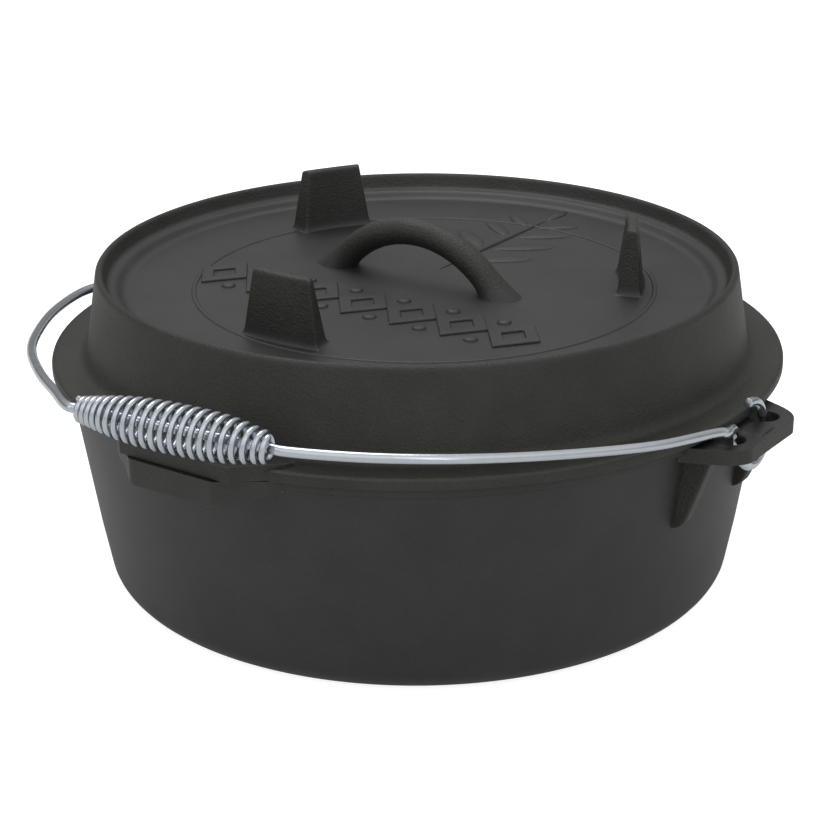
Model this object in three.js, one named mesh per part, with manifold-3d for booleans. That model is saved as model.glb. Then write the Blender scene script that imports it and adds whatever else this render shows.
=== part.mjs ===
// Cast iron dutch oven with a pan-shaped lid, a wire bail and a coil grip.
// Millimetres, +Z up, origin at the centre of the flat base. The ears lie along
// X, the probe notch and the bail's resting place are on the -Y side.

import * as THREE from 'three';
import { mergeVertices } from 'three/addons/utils/BufferGeometryUtils.js';
import Module from 'manifold-3d';

const wasm = await Module();
wasm.setup();

// ---- Driving dimensions -------------------------------------------------

const SEGMENTS = 72;          // facets round the castings
const GAP = 0.3;              // between pieces that rest on each other

// Pot casting
const POT_HEIGHT = 100.3;     // base to rim
const RIM_RADIUS = 161;       // outside of the rim collar
const COLLAR_HEIGHT = 5;
const COLLAR_STEP = 2.6;      // collar stands this far out of the wall
const WALL_LEAN = 15.3;       // the wall leans in by this much, rim to base
const POT_WALL = 4.4;
const POT_FLOOR = 4.6;
const BASE_FILLET = 11;
const FLOOR_FILLET = 12;

// Ears
const EAR_REACH = 18;         // past the rim collar
const EAR_THICKNESS = 6.7;
const EAR_DROP = 2;           // ear top below the lid flange
const EAR_HALF_WIDTH = 32.4;  // where it meets the collar
const EAR_TIP_HALF_WIDTH = 18.5;
const HOLE_RADIUS = 6.25;
const HOLE_PITCH = 31;        // between the two holes of one ear
const HOLE_SETBACK = 11.5;    // hole centre from the ear's outer edge
const RIB_THICKNESS = 7;
const RIB_OFFSET = 26.5;      // rib centre from the ear's centre line
const RIB_DEPTH = 30;         // below the ear plate

// Lid casting
const FLANGE_OVERHANG = 4;    // past the rim collar
const FLANGE_THICKNESS = 4.8;
const PAN_HEIGHT = 43.4;      // flange underside to top of the lid's rim
const PAN_ROOT = 16.5;        // skirt foot, in from the flange edge
const PAN_LEAN = 5.2;         // the skirt leans in by this much, foot to rim
const PAN_WALL = 5.4;
const TRAY_DEPTH = 10.9;      // lid's rim down to the tray floor
const PLATE_THICKNESS = 4.4;
const LIP_DEPTH = 5;          // locating lip inside the pot
const LIP_THICKNESS = 4.5;
const LIP_CLEARANCE = 1;

// Legs of the turned-over lid
const LEG_CIRCLE = 96.5;       // leg centre from the lid's axis
const LEG_HEIGHT = 28.7;
const LEG_BASE = [36, 10.5];  // width along the circle, thickness
const LEG_TOP = [27.5, 4.2];
const LEG_AZIMUTHS = [-90, 30, 150];

// Loop handle
const HANDLE_RADIUS = 51.8;   // of the arch's centre line
const HANDLE_RISE = 11.2;     // arch crown above the pan rim, centre line
const HANDLE_SECTION = 12.2;  // diameter

// Pads over and under the probe notch
const PAD_REACH = 7.4;        // past the flange edge
const LID_PAD_HALF_WIDTH = 24.5;
const LID_PAD_THICKNESS = 6.6;
const POT_PAD_HALF_WIDTH = 18.5;
const POT_PAD_DEPTH = 11.4;
const PAD_FLARE = 8.5;        // each pad widens by this where it meets its casting
const NOTCH_DEPTH = 4.8;
const NOTCH_HALF_WIDTH = 22;

// Bail
const WIRE_DIAMETER = 4.3;
const BAIL_TILT = 7;          // degrees above level at rest
const BAIL_RISE = 2.6;        // bail plane above the flange underside, at its hinge
const HOOK_PIVOT_DROP = 3.5;  // hinge axis below the flange underside
const HOOK_CLEAR = 0.65;      // hook wire to the lid flange
// Bail outline as [azimuth from +X towards -Y, centre line to flange edge]
const BAIL_RIGHT = [[10, 7.3], [22, 8], [32, 8.6], [42, 11.4], [52, 16], [62, 21.4]];
const BAIL_LEFT = [[106, 24], [115, 17], [127, 10.5], [140, 5], [152, 4.2], [165, 7]];
// Hook as [degrees round the hinge axis, how far outside the circle through the holes]
const HOOK = [[69, -0.2], [100, -0.1], [140, -0.1], [180, 0], [215, 0.8],
  [245, 2.4], [270, 2.9], [295, 2.4], [325, 0.8], [356, 0.2], [375, 1.4]];

// Coil grip
const GRIP_RIGHT = 60;        // ends of the grip, along X from the middle
const GRIP_LEFT = -30;
const BAIL_SIDE_GAP = [24.5, 30.6];   // wire centre line to flange edge at those ends
const COIL_WIRE = 2.3;
const COIL_TURNS = 18;
const COIL_RADIUS = 9.4;      // of the coil's centre line at mid grip
const COIL_END_CLEAR = 0.4;   // end coils to the bail wire

// ---- Sizes that follow --------------------------------------------------

const flangeZ = POT_HEIGHT + GAP;
const flangeR = RIM_RADIUS + FLANGE_OVERHANG;
const wallR = RIM_RADIUS - COLLAR_STEP;
const panTopZ = flangeZ + PAN_HEIGHT;
const trayZ = panTopZ - TRAY_DEPTH;
const plateZ = trayZ - PLATE_THICKNESS;
const panFootR = flangeR - PAN_ROOT;
const panTopR = panFootR - PAN_LEAN;
const earTopZ = flangeZ - EAR_DROP;
const earBottomZ = earTopZ - EAR_THICKNESS;
const earTipX = RIM_RADIUS + EAR_REACH;
const holeX = earTipX - HOLE_SETBACK;
const padFaceY = -(flangeR + PAD_REACH);
const pivotZ = flangeZ - HOOK_PIVOT_DROP;
const wireR = WIRE_DIAMETER / 2;
const hookX = flangeR + wireR + HOOK_CLEAR;
// The hook runs on the inner side of both holes, half-way to their edges
const hookR = HOLE_PITCH / 2 - 0.5 * (HOLE_RADIUS - wireR);
const rad = THREE.MathUtils.degToRad;

// Outer radius of the pot's leaning wall at height z
const wallAt = (z) => wallR - WALL_LEAN * (1 - z / POT_HEIGHT);

// ---- Helpers ------------------------------------------------------------

function solid(geometry) {
  const g = geometry.index ? geometry.clone() : geometry;
  g.deleteAttribute('normal');
  g.deleteAttribute('uv');
  const merged = mergeVertices(g, 1e-4);
  const p = merged.attributes.position.array;
  const keep = [];
  const idx = merged.index.array;
  for (let i = 0; i < idx.length; i += 3) {
    const [a, b, c] = [idx[i], idx[i + 1], idx[i + 2]];
    if (a !== b && b !== c && c !== a) keep.push(a, b, c);
  }
  const make = (tris) => new wasm.Manifold(new wasm.Mesh({
    numProp: 3, vertProperties: new Float32Array(p), triVerts: new Uint32Array(tris),
  }));
  const s = make(keep);
  if (s.volume() > 0) return s;
  const flipped = [];
  for (let i = 0; i < keep.length; i += 3) flipped.push(keep[i], keep[i + 2], keep[i + 1]);
  return make(flipped);
}

function lathe(points) {
  const g = new THREE.LatheGeometry(points.map(([r, z]) => new THREE.Vector2(r, z)), SEGMENTS);
  g.rotateX(Math.PI / 2);
  return solid(g);
}

// Upright prism of an outline in X and Y, from z0 to z1
function prism(outline, z0, z1) {
  const shape = new THREE.Shape(outline.map(([x, y]) => new THREE.Vector2(x, y)));
  const g = new THREE.ExtrudeGeometry(shape, { depth: z1 - z0, bevelEnabled: false });
  g.translate(0, 0, z0);
  return solid(g);
}

// Round bar from one end to the other along an axis letter
function bar(radius, from, to, axis, sides = 24) {
  const g = new THREE.CylinderGeometry(radius, radius, to - from, sides);
  g.translate(0, (from + to) / 2, 0);
  if (axis === 'z') g.rotateX(Math.PI / 2);
  return g;
}

function block(x0, x1, y0, y1, z0, z1) {
  const g = new THREE.BoxGeometry(x1 - x0, y1 - y0, z1 - z0);
  g.translate((x0 + x1) / 2, (y0 + y1) / 2, (z0 + z1) / 2);
  return solid(g);
}

// Round section swept along a curve
function sweep(curve, radius, sides, steps) {
  const section = new THREE.Shape();
  for (let i = 0; i < sides; i++) {
    const a = (2 * Math.PI * i) / sides;
    const [x, y] = [radius * Math.cos(a), radius * Math.sin(a)];
    if (i) section.lineTo(x, y); else section.moveTo(x, y);
  }
  return solid(new THREE.ExtrudeGeometry(section, { steps, extrudePath: curve }));
}

// Quarter fillet points between two directions, centre [r, z]
function arc(r, z, radius, from, to, n = 4) {
  return Array.from({ length: n + 1 }, (_, i) => {
    const a = rad(from + ((to - from) * i) / n);
    return [r + radius * Math.cos(a), z + radius * Math.sin(a)];
  });
}

function material(color, roughness, metalness) {
  return new THREE.MeshStandardMaterial({ color, roughness, metalness });
}

const group = new THREE.Group();

function addMesh(name, body, mat) {
  const m = body.getMesh();
  const g = new THREE.BufferGeometry();
  g.setAttribute('position', new THREE.BufferAttribute(new Float32Array(m.vertProperties), 3));
  g.setIndex(new THREE.BufferAttribute(new Uint32Array(m.triVerts), 1));
  g.computeVertexNormals();
  const mesh = new THREE.Mesh(g, mat);
  mesh.name = name;
  group.add(mesh);
}

const bothSides = (piece) => piece.add(piece.mirror([1, 0, 0]));

// ---- Pot ----------------------------------------------------------------

const collarZ = POT_HEIGHT - COLLAR_HEIGHT;
const potOutside = lathe([
  [0, 0],
  ...arc(wallAt(0) - BASE_FILLET + 1, BASE_FILLET, BASE_FILLET, -90, -8),
  [wallAt(collarZ), collarZ - 1],
  [RIM_RADIUS - 0.6, collarZ + 0.4],
  [RIM_RADIUS, collarZ + 1.4],
  [RIM_RADIUS, POT_HEIGHT - 1.2],
  [RIM_RADIUS - 1.2, POT_HEIGHT],
  [0, POT_HEIGHT],
]);
const cavity = lathe([
  [0, POT_FLOOR],
  ...arc(wallAt(0) - POT_WALL - FLOOR_FILLET + 1, POT_FLOOR + FLOOR_FILLET,
    FLOOR_FILLET, -90, -8),
  [wallAt(POT_HEIGHT) - POT_WALL, POT_HEIGHT],
  [wallAt(POT_HEIGHT) - POT_WALL, POT_HEIGHT + 1],
  [0, POT_HEIGHT + 1],
]);

const innerX = RIM_RADIUS - 9;
const ear = prism([
  [innerX, -EAR_HALF_WIDTH - 3], [RIM_RADIUS - 1, -EAR_HALF_WIDTH],
  [earTipX - 11.6, -EAR_HALF_WIDTH + 2.9], [earTipX - 4.7, -EAR_TIP_HALF_WIDTH - 6.5],
  [earTipX - 1.2, -EAR_TIP_HALF_WIDTH - 2.2], [earTipX, -EAR_TIP_HALF_WIDTH],
  [earTipX, EAR_TIP_HALF_WIDTH], [earTipX - 1.2, EAR_TIP_HALF_WIDTH + 2.2],
  [earTipX - 4.7, EAR_TIP_HALF_WIDTH + 6.5], [earTipX - 11.6, EAR_HALF_WIDTH - 2.9],
  [RIM_RADIUS - 1, EAR_HALF_WIDTH], [innerX, EAR_HALF_WIDTH + 3],
], earBottomZ, earTopZ);

const ribLowZ = earBottomZ - RIB_DEPTH;
const ribShape = new THREE.Shape([
  [innerX - 8, earBottomZ + 1], [earTipX - 12.5, earBottomZ + 1],
  [wallAt(ribLowZ) + 3, ribLowZ + 1], [wallAt(ribLowZ) - 1, ribLowZ - 3],
  [innerX - 8, ribLowZ - 4],
].map(([x, z]) => new THREE.Vector2(x, z)));

function rib(y) {
  const g = new THREE.ExtrudeGeometry(ribShape, { depth: RIB_THICKNESS, bevelEnabled: false });
  g.rotateX(Math.PI / 2);
  g.translate(0, y + RIB_THICKNESS / 2, 0);
  return solid(g);
}

function earHole(y) {
  const g = bar(HOLE_RADIUS, earBottomZ - 3, earTopZ + 3, 'z');
  g.translate(holeX, y, 0);
  return solid(g);
}

const potPad = prism([
  [-POT_PAD_HALF_WIDTH - PAD_FLARE - 3, 4 - RIM_RADIUS],
  [-POT_PAD_HALF_WIDTH - PAD_FLARE, -RIM_RADIUS + 1],
  [-POT_PAD_HALF_WIDTH, padFaceY], [POT_PAD_HALF_WIDTH, padFaceY],
  [POT_PAD_HALF_WIDTH + PAD_FLARE, -RIM_RADIUS + 1],
  [POT_PAD_HALF_WIDTH + PAD_FLARE + 3, 4 - RIM_RADIUS],
], flangeZ - POT_PAD_DEPTH, POT_HEIGHT);

// Round-bottomed notch across the rim and the pad
const notchR = (NOTCH_HALF_WIDTH ** 2 + NOTCH_DEPTH ** 2) / (2 * NOTCH_DEPTH);
const notchBar = bar(notchR, padFaceY - 5, 20 - RIM_RADIUS, 'y', 120);
notchBar.translate(0, 0, flangeZ - NOTCH_DEPTH + notchR);

const ears = bothSides(ear.add(rib(-RIB_OFFSET)).add(rib(RIB_OFFSET)));
const holes = bothSides(earHole(-HOLE_PITCH / 2).add(earHole(HOLE_PITCH / 2)));
const pot = potOutside.add(ears).add(potPad)
  .subtract(cavity).subtract(holes).subtract(solid(notchBar));

// ---- Lid ----------------------------------------------------------------

const lipR = wallAt(POT_HEIGHT) - POT_WALL - LIP_CLEARANCE;
const underR = panFootR - PAN_WALL + 0.5;
const lidPan = lathe([
  [0, plateZ],
  [panTopR - PAN_WALL - 4, plateZ],
  [panTopR - PAN_WALL + 1.5, plateZ - 5],
  [underR, flangeZ + 5],
  [lipR - LIP_THICKNESS, flangeZ - LIP_DEPTH + 1],
  [lipR - LIP_THICKNESS + 1, flangeZ - LIP_DEPTH],
  [lipR - 1, flangeZ - LIP_DEPTH],
  [lipR, flangeZ - LIP_DEPTH + 1],
  [lipR, flangeZ],
  [flangeR - 0.8, flangeZ],
  [flangeR, flangeZ + 0.8],
  [flangeR, flangeZ + FLANGE_THICKNESS - 1.2],
  [flangeR - 1.2, flangeZ + FLANGE_THICKNESS],
  [panFootR + 4.5, flangeZ + FLANGE_THICKNESS],
  [panFootR + 1.4, flangeZ + FLANGE_THICKNESS + 1.8],
  [panFootR, flangeZ + FLANGE_THICKNESS + 5.6],
  [panTopR + 0.4, panTopZ - 2],
  [panTopR - 0.8, panTopZ - 0.4],
  [panTopR - 1.7, panTopZ],
  [panTopR - 2.7, panTopZ - 0.4],
  [panTopR - 3.3, panTopZ - 1.6],
  [panTopR - 4.8, trayZ + 4.6],
  [panTopR - 5.6, trayZ + 3.8],
  [panTopR - 8.4, trayZ + 3.6],
  [panTopR - 10.2, trayZ + 1.4],
  [panTopR - 13, trayZ],
  [0, trayZ],
]);

function leg(azimuth) {
  const g = new THREE.BoxGeometry(1, 1, LEG_HEIGHT + 2);
  const p = g.attributes.position;
  for (let i = 0; i < p.count; i++) {
    const [w, d] = p.getZ(i) > 0 ? LEG_TOP : LEG_BASE;
    p.setXY(i, p.getX(i) * d, p.getY(i) * w);
  }
  g.translate(LEG_CIRCLE, 0, trayZ - 2 + (LEG_HEIGHT + 2) / 2);
  g.rotateZ(rad(azimuth));
  return solid(g);
}

// Arch over the tray, its feet sunk to the middle of the plate
const archZ = panTopZ + HANDLE_RISE - HANDLE_RADIUS;
const footZ = trayZ - PLATE_THICKNESS / 2;
const reach = Math.acos((footZ - archZ) / HANDLE_RADIUS) + HANDLE_SECTION / HANDLE_RADIUS;
class Arch extends THREE.Curve {
  getPoint(t) {
    const a = reach * (2 * t - 1);
    return new THREE.Vector3(HANDLE_RADIUS * Math.sin(a), 0, archZ + HANDLE_RADIUS * Math.cos(a));
  }
}
const handle = sweep(new Arch(), HANDLE_SECTION / 2, 12, 24)
  .subtract(block(-flangeR, flangeR, -20, 20, archZ - HANDLE_RADIUS, footZ));

const lidPad = prism([
  [-LID_PAD_HALF_WIDTH - PAD_FLARE - 5, 9 - flangeR],
  [-LID_PAD_HALF_WIDTH - PAD_FLARE, 4.2 - flangeR],
  [-LID_PAD_HALF_WIDTH - 3, -flangeR], [-LID_PAD_HALF_WIDTH, padFaceY + 2.5],
  [-LID_PAD_HALF_WIDTH + 1.5, padFaceY], [LID_PAD_HALF_WIDTH - 1.5, padFaceY],
  [LID_PAD_HALF_WIDTH, padFaceY + 2.5], [LID_PAD_HALF_WIDTH + 3, -flangeR],
  [LID_PAD_HALF_WIDTH + PAD_FLARE, 4.2 - flangeR],
  [LID_PAD_HALF_WIDTH + PAD_FLARE + 5, 9 - flangeR],
], flangeZ, flangeZ + LID_PAD_THICKNESS);

// The locating lip stops at the notch, so a probe can pass
const lipGap = block(-NOTCH_HALF_WIDTH, NOTCH_HALF_WIDTH, -lipR - 1, -lipR + 14,
  flangeZ - LIP_DEPTH - 1, flangeZ);

let lid = lidPan.add(handle).add(lidPad);
for (const azimuth of LEG_AZIMUTHS) lid = lid.add(leg(azimuth));
lid = lid.subtract(lipGap);

// ---- Bail ---------------------------------------------------------------

const tilt = rad(BAIL_TILT);
// A point of the bail's plane: u along X, v out towards -Y
const inPlane = (u, v) => new THREE.Vector3(
  u, -v * Math.cos(tilt), flangeZ + BAIL_RISE + v * Math.sin(tilt));
const polar = ([azimuth, gap]) => {
  const r = flangeR + gap;
  return inPlane(r * Math.cos(rad(azimuth)), r * Math.sin(rad(azimuth)));
};
// A point of the hook, in the plane across the hinge axis
const hookPoint = ([angle, outside], side) => {
  const r = hookR + outside;
  return new THREE.Vector3(side * (hookX + Math.max(0, angle - 180) * 0.008),
    -r * Math.cos(rad(angle)), pivotZ + r * Math.sin(rad(angle)));
};
const exits = (side) => [
  new THREE.Vector3(side * (hookX + 2.1), -17.6, pivotZ + 6.6),
  new THREE.Vector3(side * (hookX + 3), -22, pivotZ + 8.3),
  new THREE.Vector3(side * (hookX + 3.1), -27, pivotZ + 9.2),
];

const vAt = (u, gap) => Math.sqrt((flangeR + gap) ** 2 - u * u);
const gripA = inPlane(GRIP_RIGHT, vAt(GRIP_RIGHT, BAIL_SIDE_GAP[0]));
const gripB = inPlane(GRIP_LEFT, vAt(GRIP_LEFT, BAIL_SIDE_GAP[1]));
const alongGrip = (t) => gripA.clone().lerp(gripB, t);

class Polyline extends THREE.Curve {
  constructor(points) {
    super();
    this.inner = new THREE.CatmullRomCurve3(points, false, 'centripetal');
    this.inner.arcLengthDivisions = 2000;
  }
  getPoint(t) { return this.inner.getPointAt(t); }
}

const bailPoints = [
  ...HOOK.map((h) => hookPoint(h, 1)), ...exits(1), ...BAIL_RIGHT.map(polar),
  ...[-0.03, 0.02, 0.2, 0.4, 0.6, 0.8, 0.98, 1.03].map(alongGrip), ...BAIL_LEFT.map(polar),
  polar([170, 7.3]), ...exits(-1).reverse(),
  ...HOOK.map((h) => hookPoint(h, -1)).reverse(),
];
const bail = sweep(new Polyline(bailPoints), wireR, 8, 160);

// ---- Coil grip ----------------------------------------------------------

// Barrel coil round the straight middle of the bail; its ends close on the wire
const endR = wireR + COIL_END_CLEAR + COIL_WIRE / 2;
const gripDir = gripA.clone().sub(gripB).normalize();
const gripUp = new THREE.Vector3(0, 0, 1);
gripUp.addScaledVector(gripDir, -gripUp.dot(gripDir)).normalize();
const gripSide = new THREE.Vector3().crossVectors(gripDir, gripUp);
class Coil extends THREE.Curve {
  getPoint(t) {
    const k = Math.min(1, Math.sin(Math.PI * t) * 1.9);
    const r = endR + (COIL_RADIUS - endR) * k * (0.86 + 0.14 * Math.sin(Math.PI * t));
    const a = 2 * Math.PI * COIL_TURNS * t;
    return alongGrip(0.985 - 0.97 * t)
      .addScaledVector(gripUp, r * Math.cos(a)).addScaledVector(gripSide, r * Math.sin(a));
  }
}
const coil = sweep(new Coil(), COIL_WIRE / 2, 6, COIL_TURNS * 12);

// ---- Assembly -----------------------------------------------------------

const iron = material(0x2e2b29, 0.62, 0.55);
const lidIron = material(0x33302e, 0.68, 0.5);
const zinc = material(0xaeb4bc, 0.32, 0.95);
const spring = material(0xa4abb5, 0.28, 0.95);

addMesh('pot', pot, iron);
addMesh('lid', lid, lidIron);
addMesh('bail', bail, zinc);
addMesh('coil_grip', coil, spring);

export default group;
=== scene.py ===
# %% [markdown]
# # A cast iron dutch oven
# The oven is four separate pieces: the pot, the pan-shaped lid with three legs, the wire
# bail and the coil grip that slips over it. The two castings are made from turned discs
# with cut and beveled blocks joined to them, and the wire pieces are round sections swept
# along a line. All sizes below are in millimetres and become metres as they are used.

# %% Load the fixed frame
import math

import bmesh
import bpy
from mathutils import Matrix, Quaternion, Vector


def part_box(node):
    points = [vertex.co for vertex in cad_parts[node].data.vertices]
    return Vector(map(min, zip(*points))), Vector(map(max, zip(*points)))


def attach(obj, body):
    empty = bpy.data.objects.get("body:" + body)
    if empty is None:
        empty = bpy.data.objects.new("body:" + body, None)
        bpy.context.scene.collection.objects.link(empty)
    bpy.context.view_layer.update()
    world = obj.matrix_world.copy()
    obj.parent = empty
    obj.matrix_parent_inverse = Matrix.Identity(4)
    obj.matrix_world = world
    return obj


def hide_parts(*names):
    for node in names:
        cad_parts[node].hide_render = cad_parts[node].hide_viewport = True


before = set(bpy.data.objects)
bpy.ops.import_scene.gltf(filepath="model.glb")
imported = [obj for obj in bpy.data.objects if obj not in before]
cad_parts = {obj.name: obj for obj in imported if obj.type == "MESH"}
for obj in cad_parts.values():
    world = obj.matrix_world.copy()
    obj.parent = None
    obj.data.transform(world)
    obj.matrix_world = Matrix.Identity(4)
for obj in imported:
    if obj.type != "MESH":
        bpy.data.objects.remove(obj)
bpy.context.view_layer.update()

MM = 0.001

# %% [markdown]
# ## Sizes that everything hangs on
# The lid rests on the pot's rim, 0.3 mm above it, so one height fixes the lid, the ears
# below it and the hinge line of the bail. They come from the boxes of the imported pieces.

# %% Heights and radii
SEAT_GAP = 0.3                         # between the pot's rim and the lid
LEG_HIGH, PAN_HIGH = 28.7, 10.9        # legs and upright rim of the lid, above the tray
EAR_DROP, EAR_THICK = 2.0, 6.7         # ear's top below the flange, and its thickness
HOLE_INSET = 12.1                      # bail holes, in from the ear's tip
PIVOT_DROP = 3.5                       # hinge line of the bail, below the flange
WALL, WALL_TOP_R, LEAN = 4.4, 158.4, 15.3   # thickness, outer radius at the top, lean
SIDES = 240                            # steps round a turned casting

pot_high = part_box("pot")[1]
lid_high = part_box("lid")[1]
RIM_Z = pot_high.z / MM                # top of the pot
FLANGE_Z = RIM_Z + SEAT_GAP            # underside of the lid's flange
FLANGE_R = lid_high.y / MM
LEG_TOP = lid_high.z / MM
TRAY_Z = LEG_TOP - LEG_HIGH            # floor of the tray
PAN_Z = TRAY_Z + PAN_HIGH              # top of the lid's upright rim
EAR_TOP = FLANGE_Z - EAR_DROP
HOLE_X = pot_high.x / MM - HOLE_INSET
PIVOT_Z = FLANGE_Z - PIVOT_DROP


def wall_at(z):
    """Outer radius of the pot's leaning wall at a height."""
    return WALL_TOP_R - LEAN * (1 - z / RIM_Z)


print("rim", round(RIM_Z, 2), "flange radius", round(FLANGE_R, 2), "tray", round(TRAY_Z, 2))

# %% [markdown]
# ## Working by hand, in code
# Every operator acts on what is selected, so each step starts with nothing selected, and
# in edit mode the parts to work on are picked by where they are.

# %% Selecting and finishing helpers
def nothing_selected():
    if bpy.context.object and bpy.context.object.mode != "OBJECT":
        bpy.ops.object.mode_set(mode="OBJECT")
    bpy.ops.object.select_all(action="DESELECT")


def only(piece):
    """Make a piece the only selected one, and the active one."""
    nothing_selected()
    piece.select_set(True)
    bpy.context.view_layer.objects.active = piece


def begin(name):
    """Name the new primitive, put its place into its mesh and open it in edit mode."""
    piece = bpy.context.object
    piece.name = name
    bpy.ops.object.transform_apply(location=True, rotation=True, scale=True)
    bpy.ops.object.mode_set(mode="EDIT")
    return piece


def pick(kind, test):
    """Select the verts, edges or faces that pass; a test gets the centre in mm and the part."""
    bpy.ops.mesh.select_all(action="DESELECT")
    bpy.ops.mesh.select_mode(type={"verts": "VERT", "edges": "EDGE", "faces": "FACE"}[kind])
    shape = bmesh.from_edit_mesh(bpy.context.edit_object.data)
    count = 0
    for part in getattr(shape, kind):
        if kind == "verts":
            centre = part.co
        elif kind == "edges":
            centre = (part.verts[0].co + part.verts[1].co) / 2
        else:
            centre = part.calc_center_median()
        if test(centre / MM, part):
            part.select_set(True)
            count += 1
    shape.select_flush_mode()
    bmesh.update_edit_mesh(bpy.context.edit_object.data)
    return count


def close_up(piece):
    """Merge doubles, point all faces outwards and leave edit mode."""
    bpy.ops.mesh.select_all(action="SELECT")
    bpy.ops.mesh.remove_doubles(threshold=0.000005)
    bpy.ops.mesh.normals_make_consistent(inside=False)
    bpy.ops.object.mode_set(mode="OBJECT")
    return piece


def sharp(edge):
    """True where two faces meet at a clear corner."""
    return edge.calc_face_angle(0) > 1


def level(edge):
    """True where both ends of an edge are at one height."""
    return abs(edge.verts[0].co.z - edge.verts[1].co.z) < 1e-6


def turned_by(piece, degrees):
    """Turn a whole piece about the oven's axis and put the turn into its mesh."""
    only(piece)
    piece.rotation_euler.z = math.radians(degrees)
    bpy.ops.object.transform_apply(rotation=True)
    return piece


def shifted(piece, x=0, y=0, z=0):
    """Move a whole piece, in mm, and put the move into its mesh."""
    only(piece)
    piece.location = (x * MM, y * MM, z * MM)
    bpy.ops.object.transform_apply(location=True)
    return piece


def copy_of(piece):
    """Another object like this one, with a mesh of its own."""
    only(piece)
    bpy.ops.object.duplicate()
    return bpy.context.object


def fuse(piece, others, operation="UNION"):
    """Join solids to a piece, or cut them from it, with an applied Boolean for each."""
    for other in others:
        only(piece)
        tool = piece.modifiers.new("join", "BOOLEAN")
        tool.operation = operation
        tool.solver = "MANIFOLD"
        tool.object = other
        bpy.ops.object.modifier_apply(modifier=tool.name)
        bpy.data.objects.remove(other)
    return piece


def count_open(piece):
    """Print a piece's size and the edges that don't join exactly two faces."""
    shape = bmesh.new()
    shape.from_mesh(piece.data)
    loose = sum(len(edge.link_faces) != 2 for edge in shape.edges)
    triangles = sum(len(face.verts) - 2 for face in shape.faces)
    volume = shape.calc_volume() / MM ** 3 / 1000
    shape.free()
    print(f"{piece.name}: {triangles} triangles, {loose} open edges, {volume:.1f} cm3")


print("helpers ready")

# %% [markdown]
# ## Turned shapes and stacked shapes
# A casting that is round in plan starts as a disc. Its rim is extruded and resized once for
# each point of the cross-section, as a potter raises a wall. A block that tapers is raised
# in the same way from a flat face, with its own centre and width for every row.

# %% Turn, stack and widen
def arc(r, z, radius, start, end, steps):
    """Points of a rounded corner, from one direction to another in degrees."""
    turn = [math.radians(start + (end - start) * i / steps) for i in range(steps + 1)]
    return [(r + radius * math.cos(a), z + radius * math.sin(a)) for a in turn]


def turn(name, section, sides=SIDES):
    """A closed round solid from (radius, height) points, first disc to last disc."""
    nothing_selected()
    r, z = section[0]
    bpy.ops.mesh.primitive_circle_add(
        vertices=sides, radius=r * MM, location=(0, 0, z * MM), fill_type="NGON")
    piece = begin(name)
    bpy.ops.mesh.select_all(action="SELECT")
    for new_r, new_z in section[1:]:
        bpy.ops.mesh.extrude_region_move(
            TRANSFORM_OT_translate={"value": (0, 0, (new_z - z) * MM)})
        bpy.ops.transform.resize(value=(new_r / r, new_r / r, 1), center_override=(0, 0, 0))
        r, z = new_r, new_z
    return close_up(piece)


def raise_rows(rows):
    """Extrude the selected face row by row; a row is centre x, y, z and widths in x and y."""
    x, y, z, wide, deep = rows[0]
    for row in rows[1:]:
        step = ((row[0] - x) * MM, (row[1] - y) * MM, (row[2] - z) * MM)
        bpy.ops.mesh.extrude_region_move(TRANSFORM_OT_translate={"value": step})
        bpy.ops.transform.resize(
            value=(row[3] / wide, row[4] / deep, 1),
            center_override=(row[0] * MM, row[1] * MM, row[2] * MM))
        x, y, z, wide, deep = row


def widen(name, rows, z0, z1):
    """A flat plate from (reach, half width) rows along +X, given its thickness."""
    nothing_selected()
    reach, half = rows[0]
    bpy.ops.mesh.primitive_plane_add(size=2 * half * MM, location=(reach * MM, 0, z0 * MM))
    piece = begin(name)
    pick("verts", lambda centre, part: centre.x > reach)
    bpy.ops.mesh.delete(type="VERT")
    bpy.ops.mesh.select_all(action="SELECT")
    bpy.ops.transform.translate(value=(half * MM, 0, 0))
    for new_reach, new_half in rows[1:]:
        bpy.ops.mesh.extrude_region_move(
            TRANSFORM_OT_translate={"value": ((new_reach - reach) * MM, 0, 0)})
        bpy.ops.transform.resize(value=(1, new_half / half, 1), center_override=(0, 0, 0))
        reach, half = new_reach, new_half
    bpy.ops.mesh.select_all(action="SELECT")
    bpy.ops.mesh.extrude_region_move(
        TRANSFORM_OT_translate={"value": (0, 0, (z1 - z0) * MM)})
    return close_up(piece)


def round_over(piece, width, test, segments=3):
    """Bevel the edges that pass, like easing them with a file."""
    only(piece)
    bpy.ops.object.mode_set(mode="EDIT")
    pick("edges", test)
    bpy.ops.mesh.bevel(offset=width * MM, segments=segments, affect="EDGES", clamp_overlap=True)
    close_up(piece)


print("shaping tools ready")

# %% [markdown]
# ## The pot
# A sand casting with a flat base, a wall that leans out by 15 mm on its way up and a narrow
# collar at the rim. It could be modelled as a cylinder that is hollowed and tapered, but
# raising one ring per point keeps the wall 4.4 mm thick all the way and lets both fillets
# at the base have their own radius.

# %% Pot body
base_fillet = arc(wall_at(0) - 10, 11, 11, -90, -8, 9)
floor_fillet = arc(wall_at(0) - 15.4, 16.6, 12, -8, -90, 9)
pot_section = base_fillet + [
    (wall_at(30), 30), (wall_at(62), 62), (wall_at(93), 93),
    (wall_at(94.4), 94.4), (158.1, 95.0), (159.0, 95.25), (160.1, 95.6), (160.75, 96.2),
    (161, 97.1), (161, 98.9), (160.75, 99.7), (160.1, 100.15), (159.2, RIM_Z),
    (155.6, RIM_Z), (154.7, 100.05), (154.15, 99.5), (153.95, 98.4),
    (wall_at(60) - WALL, 60)] + floor_fillet
iron_pot = turn("iron_pot", pot_section)
count_open(iron_pot)

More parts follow.
